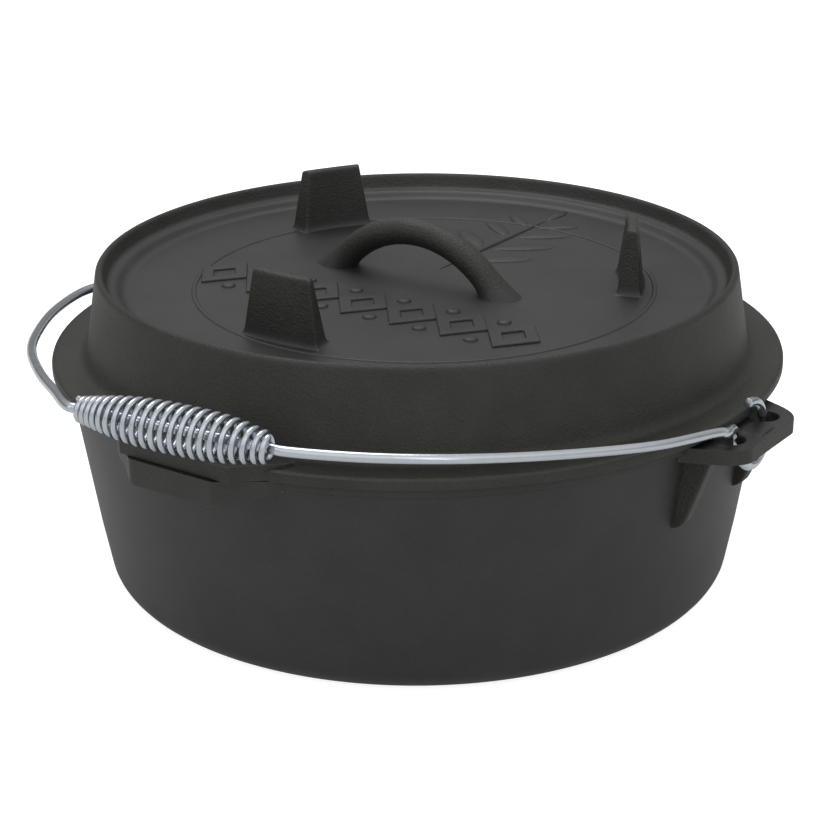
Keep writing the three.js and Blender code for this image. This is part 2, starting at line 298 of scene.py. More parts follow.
# %% [markdown]
# ## The ears
# Each ear is a thick plate cast onto the collar, with two holes for the bail's hook, a low
# hump between them and two ribs below that carry the load into the wall. One ear is built
# along +X and mirrored for the other side, so that both hooks leave towards the front.

# %% Ear plate, hump and holes
ear_rows = [(153.6, 35.4), (156.5, 34.4), (159.5, 33.2), (163.0, 31.8), (166.5, 30.4),
            (169.6, 29.0), (172.4, 27.4), (174.9, 25.5), (176.8, 23.5), (178.2, 21.3),
            (178.8, 19.6), (179.0, 18.0)]
ear = widen("ear", ear_rows, EAR_TOP - EAR_THICK, EAR_TOP)
round_over(ear, 0.9, lambda c, e: sharp(e) and level(e) and c.x > 155)

HUMP_R, HUMP_HIGH = 40.0, 0.8
HUMP_X, HUMP_LONG = 166.8, 20.0
HUMP_FOOT = EAR_TOP - 3
nothing_selected()
bpy.ops.mesh.primitive_cylinder_add(
    vertices=128, radius=HUMP_R * MM, depth=HUMP_LONG * MM, rotation=(0, math.pi / 2, 0),
    location=(HUMP_X * MM, 0, (EAR_TOP + HUMP_HIGH - HUMP_R) * MM))
hump = begin("hump")
bpy.ops.mesh.select_all(action="SELECT")
bpy.ops.mesh.bisect(plane_co=(0, 0, HUMP_FOOT * MM), plane_no=(0, 0, 1),
                    clear_inner=True, use_fill=True)
close_up(hump)
round_over(hump, 0.7, lambda c, e: sharp(e) and c.z > HUMP_FOOT + 0.1
           and abs(abs(c.x - HUMP_X) - HUMP_LONG / 2) < 0.1, 4)

HOLE_PITCH, HOLE_R = 31.0, 6.25
hole_section = [(7.2, EAR_TOP + 2.5), (7.1, EAR_TOP + 0.05), (6.7, EAR_TOP - 0.15),
                (6.4, EAR_TOP - 0.5), (HOLE_R, EAR_TOP - 1.1), (HOLE_R, EAR_TOP - 5.8),
                (6.5, EAR_TOP - 6.4), (7.0, EAR_TOP - 6.8), (7.0, EAR_TOP - 8)]
drill = shifted(turn("drill", hole_section, 48), HOLE_X, -HOLE_PITCH / 2)
drill_two = shifted(copy_of(drill), 0, HOLE_PITCH)
print("ear plate, hump and two drills")

# %% [markdown]
# A rib is a slab 7 mm thick that hangs from the ear and runs down into the leaning wall. It
# is stacked from its flat foot under the ear to a blunt toe that sinks into the wall.

# %% Ribs
RIB_THICK, RIB_Y = 7.0, 26.5
# Height, inner reach and outer reach of each row
rib_rows = [
    (93.2, 153.0, 166.4), (90.5, 152.6, 165.3), (65.6, 148.4, 156.3), (62.6, 148.0, 154.8),
    (60.8, 147.7, 153.2), (59.8, 147.5, 151.4), (59.4, 147.4, 150.0)]


def make_rib(y):
    nothing_selected()
    rows = [((a + b) / 2, y, z, b - a, RIB_THICK) for z, a, b in rib_rows]
    x, _, z, wide, deep = rows[0]
    bpy.ops.mesh.primitive_plane_add(size=1 * MM, location=(x * MM, y * MM, z * MM))
    rib = begin("rib")
    bpy.ops.mesh.select_all(action="SELECT")
    bpy.ops.transform.resize(value=(wide, deep, 1), center_override=(x * MM, y * MM, z * MM))
    raise_rows(rows)
    close_up(rib)
    round_over(rib, 1.1, lambda c, e: sharp(e) and abs(abs(c.y - y) - RIB_THICK / 2) < 0.05
               and c.x > wall_at(c.z) - 1 and c.z < 93)
    return rib


fuse(ear, [hump, make_rib(-RIB_Y), make_rib(RIB_Y)])
fuse(ear, [drill, drill_two], "DIFFERENCE")
count_open(ear)
far_ear = copy_of(ear)
bpy.ops.object.mode_set(mode="EDIT")
bpy.ops.mesh.select_all(action="SELECT")
bpy.ops.transform.resize(value=(-1, 1, 1), center_override=(0, 0, 0))
close_up(far_ear)

# %% [markdown]
# ## The pad and notch at the rim
# On the front of the pot a pad stands out below the rim, and a shallow round-bottomed notch
# runs across both, so that a thermometer's lead can pass under the lid.

# %% Pot pad and notch
PAD_FOOT = FLANGE_Z - 11.4
PAD_FLAT = 20.0                        # half of the level stretch of its underside
PAD_SLOPE = (0.242, 0.970)             # outward and upward parts of the slopes' normal
pot_pad = widen("pot_pad", [
    (154.7, 43.5), (157.4, 41.4), (159.6, 39.0), (161.8, 36.0), (164.0, 32.6), (166.2, 29.2),
    (168.4, 26.2), (170.3, 24.0), (171.6, 22.4), (172.2, 21.2), (172.4, 19.8)],
    PAD_FOOT, RIM_Z)
turned_by(pot_pad, -90)
bpy.ops.object.mode_set(mode="EDIT")
for side in (-1, 1):
    bpy.ops.mesh.select_all(action="SELECT")
    bpy.ops.mesh.bisect(plane_co=(side * PAD_FLAT * MM, 0, PAD_FOOT * MM),
                        plane_no=(-side * PAD_SLOPE[0], 0, PAD_SLOPE[1]),
                        clear_inner=True, use_fill=True)
bpy.ops.object.mode_set(mode="OBJECT")
round_over(pot_pad, 5, lambda c, e: 0.1 < e.calc_face_angle(0) < 0.5
           and c.z < PAD_FOOT + 1.4 and abs(abs(c.x) - PAD_FLAT) < 1, 5)
round_over(pot_pad, 1.1, lambda c, e: sharp(e) and c.y < -156 and c.z < FLANGE_Z - 4
           and abs(e.verts[0].co.x - e.verts[1].co.x) > 1e-5)
fuse(iron_pot, [ear, far_ear, pot_pad])

NOTCH_R, NOTCH_LONG = 62.0, 44.0
NOTCH_X, NOTCH_Y, NOTCH_FLOOR = -5.0, -160.0, 98.0
NOTCH_TILT = math.radians(13)          # its floor falls outwards
nothing_selected()
bpy.ops.mesh.primitive_cylinder_add(
    vertices=256, radius=NOTCH_R * MM, depth=NOTCH_LONG * MM,
    location=(NOTCH_X * MM, NOTCH_Y * MM, (NOTCH_FLOOR + NOTCH_R) * MM),
    rotation=(math.pi / 2 + NOTCH_TILT, 0, 0))
notch = begin("notch")
close_up(notch)
fuse(iron_pot, [notch], "DIFFERENCE")
count_open(iron_pot)

# %% [markdown]
# ## The lid
# Turned over, the lid is a shallow pan on three legs, so it has its own upright rim, a
# stepped tray and a flange that covers the pot's rim. A locating lip below keeps it from
# sliding. It is turned in one go, from the underside of the plate out round the lip, over
# the flange and rim, and back in to the tray.

# %% Lid body
PLATE_Z = TRAY_Z - WALL                # underside of the tray
lid_section = [
    (133.0, PLATE_Z), (136.2, PLATE_Z - 0.5), (138.3, PLATE_Z - 2.0), (139.4, PLATE_Z - 5.0),
    (143.6, FLANGE_Z + 5), (148.4, 96.7), (148.8, 96.0), (149.6, 95.6), (151.8, 95.6),
    (152.7, 96.0), (153.0, 96.9), (153.0, FLANGE_Z), (163.9, FLANGE_Z),
    (164.6, FLANGE_Z + 0.2), (165.0, FLANGE_Z + 0.9), (165.0, 103.7), (164.65, 104.7),
    (163.6, 105.3), (162.6, 105.4), (153.8, 105.4), (152.1, 105.7), (150.6, 106.6),
    (149.5, 108.1), (148.85, 110.0), (148.5, 112.2), (143.85, 141.4), (143.6, 142.6),
    (142.9, 143.55), (141.9, PAN_Z), (140.9, 143.6), (140.3, 142.7), (140.0, 141.6),
    (138.9, 138.6), (138.4, 137.7), (137.5, 137.1), (136.2, 136.8), (135.0, 136.5),
    (133.9, 135.7), (132.9, 134.6), (131.7, 133.7), (130.2, 133.2), (128.5, TRAY_Z)]
iron_lid = turn("iron_lid", lid_section)
count_open(iron_lid)

# %% [markdown]
# ## The legs
# The three legs are curved in plan, because they follow one circle round the tray. A short
# line is spun round the oven's axis into that curved outline, its corners are rounded, and
# it is raised row by row. The first rows flare out, as the fillet at the root of a cast leg.

# %% Leg
LEG_R = 96.5
leg_rows = [(LEG_R, 0, z, thick, wide) for z, thick, wide in (
    (TRAY_Z - 2, 14.4, 40.6), (TRAY_Z, 13.6, 39.8), (TRAY_Z + 0.35, 12.2, 38.3),
    (TRAY_Z + 1.1, 11.1, 37.2), (TRAY_Z + 2.4, 10.4, 36.3), (TRAY_Z + 4.6, 9.7, 35.6),
    (LEG_TOP - 2.4, 5.1, 28.9), (LEG_TOP - 1.2, 4.8, 28.5), (LEG_TOP - 0.5, 4.1, 27.8),
    (LEG_TOP - 0.12, 3.0, 26.7), (LEG_TOP, 1.8, 25.5))]
LEG_FOOT, LEG_THICK = leg_rows[0][2], leg_rows[0][3]
LEG_SPAN = leg_rows[0][4] / LEG_R
nothing_selected()
bpy.ops.mesh.primitive_plane_add(
    size=LEG_THICK * MM, location=(LEG_R * MM, 0, LEG_FOOT * MM))
leg = begin("leg")
pick("verts", lambda c, v: c.y > 0)
bpy.ops.mesh.delete(type="VERT")
bpy.ops.mesh.select_all(action="SELECT")
bpy.ops.transform.translate(value=(0, LEG_THICK / 2 * MM, 0))
bpy.ops.mesh.spin(steps=16, angle=-LEG_SPAN, center=(0, 0, 0), axis=(0, 0, 1))
close_up(leg)
turned_by(leg, -math.degrees(LEG_SPAN) / 2)
bpy.ops.object.mode_set(mode="EDIT")
pick("verts", lambda c, v: len(v.link_edges) == 2)
bpy.ops.mesh.bevel(offset=1.5 * MM, segments=4, affect="VERTICES")
bpy.ops.mesh.select_all(action="SELECT")
raise_rows(leg_rows)
close_up(leg)
legs = [turned_by(copy_of(leg), angle) for angle in (-90, 30, 150)]
bpy.data.objects.remove(leg)
count_open(legs[0])

# %% [markdown]
# ## The loop handle
# A round bar bent into an arch, cast in one with the lid. A circle is spun along the arch,
# and the rings near the feet are enlarged, so that the bar flows into the plate.

# %% Handle
ARCH_R, BAR_R = 51.8, 6.1
ARCH_Z = PAN_Z + 11.2 - ARCH_R         # centre of the arch
SWEEP, FLARE_FROM = 62, 43             # degrees from the top: end of the arch, start of the flare
foot = math.radians(SWEEP)
nothing_selected()
bpy.ops.mesh.primitive_circle_add(
    vertices=36, radius=BAR_R * MM, rotation=(0, math.radians(90 - SWEEP), 0),
    location=(-ARCH_R * MM * math.sin(foot), 0, (ARCH_Z + ARCH_R * math.cos(foot)) * MM))
handle = begin("handle")
bpy.ops.mesh.select_all(action="SELECT")
bpy.ops.mesh.spin(steps=2 * SWEEP, angle=-2 * foot, center=(0, 0, ARCH_Z * MM),
                  axis=(0, 1, 0))
for side in (-1, 1):
    pick("edges", lambda c, e: len(e.link_faces) == 1 and c.x * side > 0)
    bpy.ops.mesh.edge_face_add()
for side in (-1, 1):
    for degrees in range(FLARE_FROM + 1, SWEEP + 1):
        here = math.radians(degrees) * side
        size = 1 + 0.0021 * (degrees - FLARE_FROM) ** 2
        pick("verts", lambda c, v: abs(math.atan2(c.x, c.z - ARCH_Z) - here) < 0.006)
        bpy.ops.transform.resize(
            value=(size, size, size),
            center_override=(ARCH_R * MM * math.sin(here), 0,
                             (ARCH_Z + ARCH_R * math.cos(here)) * MM))
bpy.ops.mesh.select_all(action="SELECT")
bpy.ops.mesh.bisect(plane_co=(0, 0, (TRAY_Z - 2) * MM), plane_no=(0, 0, 1),
                    clear_inner=True, use_fill=True)
close_up(handle)
count_open(handle)

# %% [markdown]
# ## The lid's pad
# Over the notch the flange carries a thicker pad, with soft corners, to lift the lid by.

# %% Lid pad
PAD_TOP = FLANGE_Z + 6.6
lid_pad = widen("lid_pad", [
    (150.0, 46.0), (154.0, 44.2), (157.0, 41.6), (159.5, 38.8), (162.0, 35.8), (164.4, 33.0),
    (166.2, 31.0), (168.0, 29.7), (169.4, 28.9), (170.3, 28.2), (170.6, 27.2)],
    FLANGE_Z, PAD_TOP)
turned_by(lid_pad, -90)
round_over(lid_pad, 1.5, lambda c, e: sharp(e) and c.y < -151 and c.z > PAD_TOP - 0.6)
round_over(lid_pad, 0.6, lambda c, e: sharp(e) and c.y < -164 and c.z < FLANGE_Z + 0.1)
print("lid pad", len(lid_pad.data.polygons), "faces")

# %% [markdown]
# ## Plain cast ornament
# The tray carries a low relief. Here it is a plain row of open lozenges with a boss between
# each two, a thin ring, and a simple leaf sprig: shapes that any pattern maker would cut.

# %% Lozenge row
BAND_Y, BAND_X, PITCH, LOZENGES = -41.5, -78.0, 26.0, 7
HALF_LONG, HALF_WIDE, BORDER = 13.2, 16.6, 5.6
SUNK, RELIEF = 1.0, 1.1                # below the tray's floor, and above it
nothing_selected()
bpy.ops.mesh.primitive_circle_add(
    vertices=4, radius=1 * MM, fill_type="NGON", location=(0, 0, (TRAY_Z - SUNK) * MM))
lozenge = begin("lozenge")
bpy.ops.mesh.select_all(action="SELECT")
bpy.ops.transform.resize(value=(HALF_LONG, HALF_WIDE, 1), center_override=(0, 0, 0))
bpy.ops.mesh.inset(thickness=BORDER * MM)
bpy.ops.mesh.delete(type="FACE")
bpy.ops.mesh.select_all(action="SELECT")
bpy.ops.mesh.extrude_region_move(
    TRANSFORM_OT_translate={"value": (0, 0, (SUNK + RELIEF) * MM)})
close_up(lozenge)
round_over(lozenge, 0.7, lambda c, e: sharp(e) and (c.z > TRAY_Z + 1 or not level(e)))
boss = turn("boss", [(3.4, TRAY_Z - SUNK), (3.2, TRAY_Z + 0.2), (2.8, TRAY_Z + 0.8),
                     (2.1, TRAY_Z + 1.1), (0.9, TRAY_Z + 1.2)], 24)
ornament = [shifted(copy_of(lozenge), BAND_X + PITCH * i, BAND_Y) for i in range(LOZENGES)]
ornament += [shifted(copy_of(boss), BAND_X + PITCH * (i + 0.5), BAND_Y + 13 * side)
             for i in range(LOZENGES - 1) for side in (-1, 1)]
for done in (lozenge, boss):
    bpy.data.objects.remove(done)
print(len(ornament), "raised shapes in the row")

# %% [markdown]
# The ring is a thin flattened torus, sunk to its middle. The sprig is a straight stem and
# pairs of slim leaves, each a flattened sphere.

# %% Ring and sprig
RING_R, RING_X, RING_Y = 103.0, 6.0, -3.0
nothing_selected()
bpy.ops.mesh.primitive_torus_add(
    major_segments=200, minor_segments=12, major_radius=RING_R * MM, minor_radius=1.1 * MM,
    location=(RING_X * MM, RING_Y * MM, TRAY_Z * MM))
ring = begin("ring")
bpy.ops.mesh.select_all(action="SELECT")
bpy.ops.transform.resize(value=(1, 1, 0.5), center_override=(0, 0, TRAY_Z * MM))
close_up(ring)


def leaf(x, y, long, wide, heading):
    """A flattened sphere on the tray's floor, its length turned to a heading in degrees."""
    nothing_selected()
    bpy.ops.mesh.primitive_uv_sphere_add(segments=24, ring_count=12, radius=0.5 * MM)
    piece = begin("leaf")
    bpy.ops.mesh.select_all(action="SELECT")
    bpy.ops.transform.resize(value=(long, wide, 2.2), center_override=(0, 0, 0))
    close_up(piece)
    turned_by(piece, heading)
    return shifted(piece, x, y, TRAY_Z)


sprig = [leaf(0, 64, 96, 3.0, 90)]
for i, (y, long) in enumerate([(36, 32), (58, 30), (80, 26), (98, 20)]):
    for side in (-1, 1):
        sprig.append(leaf(side * (long * 0.39 + 3.4), y + long * 0.30, long, 9.5 - i,
                          90 - side * 52))
sprig.append(leaf(0, 122, 17, 6, 90))
print(len(sprig), "leaves and stem")

# %% Fuse the lid
fuse(iron_lid, legs + [handle, lid_pad])
fuse(iron_lid, ornament + [ring] + sprig)

GAP_PLACE = Vector((0, -147, 97.6)) * MM   # the locating lip opens behind the notch
nothing_selected()
bpy.ops.mesh.primitive_cube_add(size=1 * MM, location=GAP_PLACE)
gap = begin("gap")
bpy.ops.mesh.select_all(action="SELECT")
bpy.ops.transform.resize(value=(44, 14, 6), center_override=GAP_PLACE)
close_up(gap)
fuse(iron_lid, [gap], "DIFFERENCE")
count_open(iron_lid)

# %% [markdown]
# ## The bail
# One length of zinc-plated wire. Each end hooks through both holes of an ear, comes up
# beside the flange, follows the lid round, and runs straight under the grip. The line is a
# smooth curve through a few points, the section a circle 4.3 mm across.

# %% Path of the bail
WIRE_R = 2.15
TILT, BAIL_RISE = math.radians(7), 2.6     # the bail's plane and its height at the hinge
HOOK_X = FLANGE_R + WIRE_R + 0.65          # clear of the flange
# Beside the lid: degrees round from +X and mm outside the flange
BAIL_RIGHT = [(10, 7.3), (22, 8), (32, 8.6), (42, 11.4), (52, 16), (62, 21.4)]
BAIL_LEFT = [(106, 24), (115, 17), (127, 10.5), (140, 5), (152, 4.2), (165, 7)]
# Hook of one end, from its tail down through the far hole and up through the near one,
# as distances from the hinge line to the back and up
HOOK = [(-2.2, 13.0), (1.6, 12.4), (5.4, 11.0), (8.7, 8.6), (11.0, 5.5), (12.6, 1.8),
        (14.0, -1.8), (14.9, -6.0), (14.3, -11.2), (11.4, -15.0), (6.6, -16.8), (1.5, -16.2),
        (-3.5, -13.6), (-8.0, -9.7), (-10.9, -5.3), (-12.0, -1.0), (-12.8, 3.0)]
# On from the hook, as distances out from its plane, to the back and up
LEAVING = [(0.8, -15.9, 6.2), (1.8, -20.5, 7.6), (3.1, -27, 8.9)]


def in_plane(u, v):
    """A point of the bail's tilted plane, u along X and v out to the front."""
    return Vector((u, -v * math.cos(TILT), FLANGE_Z + BAIL_RISE + v * math.sin(TILT)))


def round_lid(azimuth, clear):
    """A point of the bail beside the lid, so many mm outside the flange."""
    a, r = math.radians(azimuth), FLANGE_R + clear
    return in_plane(r * math.cos(a), r * math.sin(a))


def outside(u, clear):
    """A point of the bail at u along X, so many mm outside the flange."""
    return in_plane(u, math.sqrt((FLANGE_R + clear) ** 2 - u ** 2))


def on_hook(y, z, side):
    return Vector((side * HOOK_X, y, PIVOT_Z + z))


def leaving(side):
    return [Vector((side * (HOOK_X + x), y, PIVOT_Z + z)) for x, y, z in LEAVING]


GRIP_A, GRIP_B = outside(60, 24.5), outside(-30, 30.6)
under_grip = [GRIP_A.lerp(GRIP_B, t) for t in (-0.03, 0.02, 0.2, 0.4, 0.6, 0.8, 0.98, 1.03)]
bail_points = (
    [on_hook(y, z, 1) for y, z in HOOK] + leaving(1)
    + [round_lid(*p) for p in BAIL_RIGHT] + under_grip + [round_lid(*p) for p in BAIL_LEFT]
    + [round_lid(170, 7.3)] + leaving(-1)[::-1] + [on_hook(y, z, -1) for y, z in HOOK[::-1]])
print(len(bail_points), "points on the bail")

# %% Sweep a wire along a path
def smooth_line(points, steps):
    """More points on a centripetal curve through the given ones."""
    ends = [points[0] * 2 - points[1]] + points + [points[-1] * 2 - points[-2]]
    line = []
    for p0, p1, p2, p3 in zip(ends, ends[1:], ends[2:], ends[3:]):
        a, b, c = ((q - p).length ** 0.5 for p, q in ((p0, p1), (p1, p2), (p2, p3)))
        m1 = ((p1 - p0) / a - (p2 - p0) / (a + b) + (p2 - p1) / b) * b
        m2 = ((p2 - p1) / b - (p3 - p1) / (b + c) + (p3 - p2) / c) * b
        for i in range(steps):
            t = i / steps
            line.append(p1 * (2 * t ** 3 - 3 * t ** 2 + 1) + p2 * (3 * t ** 2 - 2 * t ** 3)
                        + m1 * (t ** 3 - 2 * t ** 2 + t) + m2 * (t ** 3 - t ** 2))
    return line + [points[-1]]


def wire(name, line, radius, sides, end_ease):
    """A round wire with eased flat ends: a poly curve with a bevel, made a mesh."""
    nothing_selected()
    bpy.ops.curve.primitive_nurbs_path_add()
    piece = bpy.context.object
    piece.name = name
    piece.data.splines.clear()
    spline = piece.data.splines.new("POLY")
    spline.points.add(len(line) - 1)
    for point, place in zip(spline.points, line):
        point.co = (*(place * MM), 1)
    piece.data.bevel_depth = radius * MM
    piece.data.bevel_resolution = sides // 4 - 1
    piece.data.use_fill_caps = True
    piece.data.twist_mode = "MINIMUM"
    bpy.ops.object.convert(target="MESH")
    bpy.ops.object.mode_set(mode="EDIT")
    close_up(piece)
    round_over(piece, end_ease, lambda c, e: e.calc_face_angle(0) > 1.2)
    return piece


zinc_bail = wire("zinc_bail", smooth_line(bail_points, 8), WIRE_R, 24, 0.45)
count_open(zinc_bail)

# %% [markdown]
# ## The coil grip
# A spring of thinner wire wound into a barrel, so that the hand doesn't touch the hot bail.
# Its left end closes down onto the bail, and its right end stays a little wider.

# %% Coil
COIL_WIRE_R, STEPS_PER_TURN = 1.3, 36
along = (GRIP_A - GRIP_B).normalized()
up = (Vector((0, 0, 1)) - along * along.z).normalized()
across = along.cross(up)
# Pitch of each turn from the left end, and the coil's radius at distances from that end
pitches = [2.75, 2.75, 2.8, 2.95, 3.3, 3.9] + [4.35] * 14 + [4.1, 3.2]
swell = [(0, 3.75), (3, 4.2), (8, 5.15), (14, 6.3), (22, 7.7), (30, 8.6), (42, 9.1), (58, 9.1),
         (68, 8.6), (76, 7.5), (82, 6.3), (90, 4.8)]


def coil_radius(distance):
    """Radius of the coil's centre line, so many mm from its left end."""
    for (d0, r0), (d1, r1) in zip(swell, swell[1:]):
        if distance <= d1:
            return r0 + (r1 - r0) * (distance - d0) / (d1 - d0)
    return swell[-1][1]


coil_line, reach = [], 1.6
for pitch in pitches:
    for i in range(STEPS_PER_TURN):
        a = 2 * math.pi * i / STEPS_PER_TURN
        r = coil_radius(reach)
        coil_line.append(GRIP_B + along * reach + up * r * math.cos(a)
                         - across * r * math.sin(a))
        reach += pitch / STEPS_PER_TURN
print("coil", len(pitches), "turns,", round(reach, 1), "mm long")
zinc_coil = wire("zinc_coil", coil_line, COIL_WIRE_R, 12, 0.3)
count_open(zinc_coil)

# %% [markdown]
# ## Cast iron
# Seasoned iron is nearly black, a little olive, with a satin skin of baked oil. Sand leaves
# a pebbled grain on it, coarse outside the lid and fine on the plate and the pot's wall.
# The edges are painted lighter: partly a thinner, worn skin, partly a painted highlight.
# A fine Noise texture gives the grain, its specks and its gloss, a wide one the clouds in
# colour, and a Voronoi one the pits between sand grains. An Ambient Occlusion node that
# looks inside the metal finds the edges for that mix of wear and painted highlight.

# %% Iron material
def lay(tree, kind, **settings):
    """Add a node; a setting is one of its sockets or one of its options."""
    node = tree.nodes.new(kind)
    for name, value in settings.items():
        if name in node.inputs:
            node.inputs[name].default_value = value
        else:
            setattr(node, name, value)
    return node


def iron(name, dark, light, grain, depth, gloss):
    """Seasoned iron between two colours, with its grain and relief in mm."""
    finish = bpy.data.materials.new(name)
    finish.use_nodes = True
    tree = finish.node_tree
    skin = tree.nodes["Principled BSDF"]
    skin.inputs["Specular IOR Level"].default_value = 0.5
    place = lay(tree, "ShaderNodeTexCoord")

    clouds = lay(tree, "ShaderNodeTexNoise", Scale=38.0, Detail=4.0, Roughness=0.6)
    fine = lay(tree, "ShaderNodeTexNoise", Scale=1 / (grain * MM), Detail=3.0, Roughness=0.62)
    pebbles = lay(tree, "ShaderNodeTexVoronoi", Scale=0.62 / (grain * MM),
                  feature="SMOOTH_F1", Smoothness=0.8)
    for texture in (clouds, fine, pebbles):
        tree.links.new(place.outputs["Object"], texture.inputs["Vector"])

    tone = lay(tree, "ShaderNodeMix", data_type="RGBA")
    tone.inputs[6].default_value, tone.inputs[7].default_value = (*dark, 1), (*light, 1)
    spread = lay(tree, "ShaderNodeMapRange", **{"From Min": 0.35, "From Max": 0.68})
    tree.links.new(clouds.outputs["Fac"], spread.inputs["Value"])
    tree.links.new(spread.outputs["Result"], tone.inputs["Factor"])

    # Edges found here are lightened in colour: partly worn skin, partly a painted highlight
    edge = lay(tree, "ShaderNodeAmbientOcclusion", samples=6, inside=True, Distance=1.6 * MM)
    edge_wear_and_highlight = lay(tree, "ShaderNodeMapRange",
               **{"From Min": 0.62, "From Max": 0.25, "To Min": 0.0, "To Max": 0.55})
    tree.links.new(edge.outputs["AO"], edge_wear_and_highlight.inputs["Value"])
    # The lighter edge colour stands partly for bare worn iron and partly for a painted highlight
    wear_and_highlight_tone = lay(tree, "ShaderNodeMix", data_type="RGBA")
    wear_and_highlight_tone.inputs[7].default_value = (0.085, 0.082, 0.074, 1)
    tree.links.new(edge_wear_and_highlight.outputs["Result"], wear_and_highlight_tone.inputs["Factor"])
    speck = lay(tree, "ShaderNodeMapRange",
                **{"From Min": 0.36, "From Max": 0.66, "To Min": 0.66, "To Max": 1.42})
    tree.links.new(fine.outputs["Fac"], speck.inputs["Value"])
    speckled = lay(tree, "ShaderNodeVectorMath", operation="SCALE")
    tree.links.new(tone.outputs[2], speckled.inputs[0])
    tree.links.new(speck.outputs["Result"], speckled.inputs["Scale"])
    tree.links.new(speckled.outputs[0], wear_and_highlight_tone.inputs[6])
    tree.links.new(wear_and_highlight_tone.outputs[2], skin.inputs["Base Color"])

    rough = lay(tree, "ShaderNodeMapRange",
                **{"From Min": 0.3, "From Max": 0.7, "To Min": gloss - 0.05,
                   "To Max": gloss + 0.07})
    tree.links.new(fine.outputs["Fac"], rough.inputs["Value"])
    tree.links.new(rough.outputs["Result"], skin.inputs["Roughness"])

    grit = lay(tree, "ShaderNodeBump", Strength=0.5, Distance=depth * MM)
    tree.links.new(fine.outputs["Fac"], grit.inputs["Height"])
    pits = lay(tree, "ShaderNodeBump", Strength=0.35, Distance=depth * MM)
    tree.links.new(pebbles.outputs["Distance"], pits.inputs["Height"])
    tree.links.new(grit.outputs["Normal"], pits.inputs["Normal"])
    tree.links.new(pits.outputs["Normal"], skin.inputs["Normal"])
    return finish


sand_cast = iron("sand_cast_iron", (0.0155, 0.0150, 0.0112), (0.024, 0.0235, 0.018),
                 0.62, 0.55, 0.5)
smooth_cast = iron("fine_cast_iron", (0.0165, 0.0160, 0.0155), (0.0235, 0.0225, 0.022),
                   0.42, 0.2, 0.46)
print("iron finishes", sand_cast.name, smooth_cast.name)

# %% [markdown]
# ## Zinc-plated wire
# The plating is bright and a little blue, with faint draw lines, so it is a metal with low
# roughness and a very small bump.

# %% Zinc material
def zinc(name, tint, gloss):
    """Bright plating of one tint, a little cloudy."""
    finish = bpy.data.materials.new(name)
    finish.use_nodes = True
    tree = finish.node_tree
    skin = tree.nodes["Principled BSDF"]
    skin.inputs["Metallic"].default_value = 1.0
    place = lay(tree, "ShaderNodeTexCoord")
    film = lay(tree, "ShaderNodeTexNoise", Scale=260.0, Detail=4.0, Roughness=0.6)
    tree.links.new(place.outputs["Object"], film.inputs["Vector"])
    tone = lay(tree, "ShaderNodeMix", data_type="RGBA")
    tone.inputs[6].default_value = (*[c * 0.86 for c in tint], 1)
    tone.inputs[7].default_value = (*tint, 1)
    tree.links.new(film.outputs["Fac"], tone.inputs["Factor"])
    tree.links.new(tone.outputs[2], skin.inputs["Base Color"])
    rough = lay(tree, "ShaderNodeMapRange",
                **{"From Min": 0.3, "From Max": 0.7, "To Min": gloss - 0.04,
                   "To Max": gloss + 0.08})
    tree.links.new(film.outputs["Fac"], rough.inputs["Value"])
    tree.links.new(rough.outputs["Result"], skin.inputs["Roughness"])
    draw = lay(tree, "ShaderNodeBump", Strength=0.15, Distance=0.03 * MM)
    tree.links.new(film.outputs["Fac"], draw.inputs["Height"])
    tree.links.new(draw.outputs["Normal"], skin.inputs["Normal"])
    return finish


bright_zinc = zinc("bright_zinc", (0.60, 0.645, 0.69), 0.16)
print("zinc finish", bright_zinc.name)

# %% [markdown]
# ## Shading and finishes
# Each casting is shaded smooth except at true corners, its normals are weighted by face
# size so that flats stay flat beside their fillets, and its faces get the coarse or the
# fine iron by where they lie.

# %% Finish the castings
def finish_casting(piece, fine_where):
    """Coarse iron all over, fine iron where it says, and smooth shading between corners."""
    only(piece)
    piece.data.materials.clear()
    piece.data.materials.append(sand_cast)
    piece.data.materials.append(smooth_cast)
    bpy.ops.object.mode_set(mode="EDIT")
    bpy.ops.mesh.select_all(action="SELECT")
    piece.active_material_index = 0
    bpy.ops.object.material_slot_assign()
    fine = pick("faces", fine_where)
    piece.active_material_index = 1
    bpy.ops.object.material_slot_assign()
    bpy.ops.object.mode_set(mode="OBJECT")
    bpy.ops.object.shade_smooth_by_angle(angle=math.radians(38))
    evened = piece.modifiers.new("evened", "WEIGHTED_NORMAL")
    evened.keep_sharp = True
    bpy.ops.object.modifier_apply(modifier=evened.name)
    print(piece.name, len(piece.data.polygons), "faces,", fine, "fine")


def pot_fine(centre, face):
    across_r = math.hypot(centre.x, centre.y)
    on_wall = across_r < wall_at(centre.z) + 0.6 and centre.z < 95.2
    return on_wall or (abs(centre.x) > 154 and face.normal.z > 0.5)


def lid_fine(centre, face):
    return math.hypot(centre.x, centre.y) < 139 and centre.z < TRAY_Z + 4.5


finish_casting(iron_pot, pot_fine)
finish_casting(iron_lid, lid_fine)
for piece in (zinc_bail, zinc_coil):
    only(piece)
    piece.data.materials.append(bright_zinc)
    bpy.ops.object.shade_smooth_by_angle(angle=math.radians(50))

# %% [markdown]
# ## Ride on the frame
# Each piece stands for one imported solid and moves with its body.

# %% Ride and replace
for piece, body, node, slot in (
        (iron_pot, "pot", "pot", "pot_iron"), (iron_lid, "lid", "lid", "lid_iron"),
        (zinc_bail, "bail", "bail", "bail_wire"), (zinc_coil, "grip", "coil_grip", "coil_wire")):
    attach(piece, body)
    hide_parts(node)
print("four pieces ride on their bodies")

# %% [markdown]
# ## Floor, light and camera
# A white sweep in a pale room. The room is a little brighter in front and overhead than at
# the sides, one soft panel overhead lifts the tray, and two narrow upright panels draw the
# bright lines along the wire.

